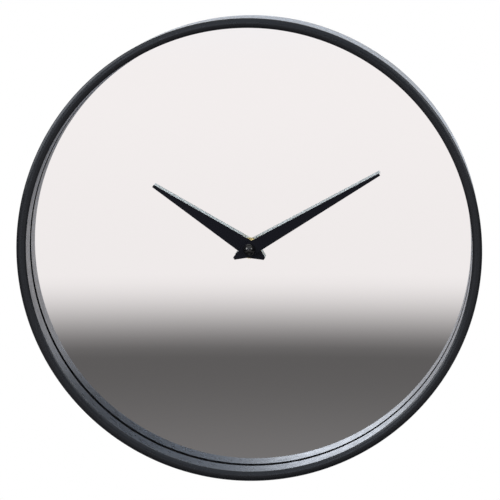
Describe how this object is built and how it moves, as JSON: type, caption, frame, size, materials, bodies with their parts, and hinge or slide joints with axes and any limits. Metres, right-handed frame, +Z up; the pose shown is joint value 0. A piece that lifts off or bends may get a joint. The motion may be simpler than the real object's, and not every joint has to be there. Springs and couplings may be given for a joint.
{
  "type": "round mirror wall clock",
  "caption": "Round wall clock with a deep satin black ring frame, a recessed mirror dial without numerals, two black kite-shaped hands and a quartz movement behind.",
  "frame": {"origin": "on the axis of the hands, half way through the depth of the ring", "axes": "+Z up to twelve, +Y from the dial back towards the wall, +X to three o'clock as seen from the front"},
  "size_m": [0.305, 0.045, 0.305],
  "materials": {
    "black_coat": "satin",
    "black_foam": "matte",
    "silvered_glass": "polished",
    "hardboard": "matte",
    "spring_steel": "satin",
    "black_rubber": "matte",
    "zinc_steel": "satin",
    "brass": "satin",
    "case_plastic": "matte",
    "circuit_green": "satin",
    "chip_black": "matte",
    "plated_can": "satin",
    "bobbin_plastic": "satin",
    "copper_wire": "satin",
    "soft_iron": "satin",
    "magnet": "matte",
    "wheel_plastic": "satin",
    "hand_black": "satin",
    "cap_black": "gloss",
    "cell_wrap": "satin"
  },
  "bodies": {
    "case": {"frame_ring": "black_coat", "mirror_seal": "black_foam", "mirror_glass": "silvered_glass", "backing_board": "hardboard", "spring_clips": "spring_steel", "rubber_washer": "black_rubber", "hanger_bracket": "zinc_steel", "threaded_bushing": "brass", "brass_washer": "brass", "hex_nut": "brass", "movement_case": "case_plastic", "movement_cover": "case_plastic", "contact_positive": "zinc_steel", "contact_negative": "zinc_steel", "circuit_board": "circuit_green", "control_chip": "chip_black", "quartz_crystal": "plated_can", "coil_bobbin": "bobbin_plastic", "coil_winding": "copper_wire", "coil_core": "soft_iron", "stator": "soft_iron"},
    "minute": {"minute_hand": "hand_black", "cap_nut": "cap_black", "minute_arbor": "wheel_plastic", "clutch_spring": "spring_steel"},
    "hour": {"hour_hand": "hand_black", "hour_collet": "brass", "hour_wheel": "wheel_plastic"},
    "motion": {"motion_wheel": "wheel_plastic"},
    "knob": {"setting_knob": "case_plastic"},
    "seconds": {"seconds_wheel": "wheel_plastic"},
    "third": {"third_wheel": "wheel_plastic"},
    "centre": {"centre_wheel": "wheel_plastic"},
    "step": {"step_wheel": "wheel_plastic"},
    "rotor": {"rotor_pinion": "wheel_plastic", "rotor_magnet": "magnet"},
    "battery": {"battery_cell": "cell_wrap"}
  },
  "joints": [
    {"name": "minute_turn", "type": "hinge", "parent": "case", "child": "minute", "pos_m": [0, 0, 0], "axis": [0, 1, 0], "continuous": true},
    {"name": "hour_turn", "type": "hinge", "parent": "case", "child": "hour", "pos_m": [0, 0, 0], "axis": [0, 1, 0], "continuous": true},
    {"name": "motion_turn", "type": "hinge", "parent": "case", "child": "motion", "pos_m": [0.00875, 0, 0.00505], "axis": [0, 1, 0], "continuous": true},
    {"name": "knob_turn", "type": "hinge", "parent": "case", "child": "knob", "pos_m": [0.01885, 0, 0.00505], "axis": [0, 1, 0], "continuous": true},
    {"name": "seconds_turn", "type": "hinge", "parent": "case", "child": "seconds", "pos_m": [0, 0, 0], "axis": [0, 1, 0], "continuous": true},
    {"name": "third_turn", "type": "hinge", "parent": "case", "child": "third", "pos_m": [-0.00976, 0, 0.00261], "axis": [0, 1, 0], "continuous": true},
    {"name": "centre_turn", "type": "hinge", "parent": "case", "child": "centre", "pos_m": [0, 0, 0], "axis": [0, 1, 0], "continuous": true},
    {"name": "step_turn", "type": "hinge", "parent": "case", "child": "step", "pos_m": [0, 0, 0.0101], "axis": [0, 1, 0], "continuous": true},
    {"name": "rotor_turn", "type": "hinge", "parent": "case", "child": "rotor", "pos_m": [0.00679, 0, 0.01402], "axis": [0, 1, 0], "continuous": true},
    {"name": "battery_out", "type": "slide", "parent": "case", "child": "battery", "axis": [0, 1, 0], "range_m": [0, 0.02]}
  ],
  "couplings": [
    {"joint": "hour_turn", "follows": "minute_turn", "ratio": 0.083333},
    {"joint": "motion_turn", "follows": "minute_turn", "ratio": -0.33333},
    {"joint": "knob_turn", "follows": "minute_turn", "ratio": 1},
    {"joint": "rotor_turn", "follows": "seconds_turn", "ratio": 30},
    {"joint": "step_turn", "follows": "seconds_turn", "ratio": -5},
    {"joint": "third_turn", "follows": "seconds_turn", "ratio": -0.13333},
    {"joint": "centre_turn", "follows": "seconds_turn", "ratio": 0.016667}
  ]
}
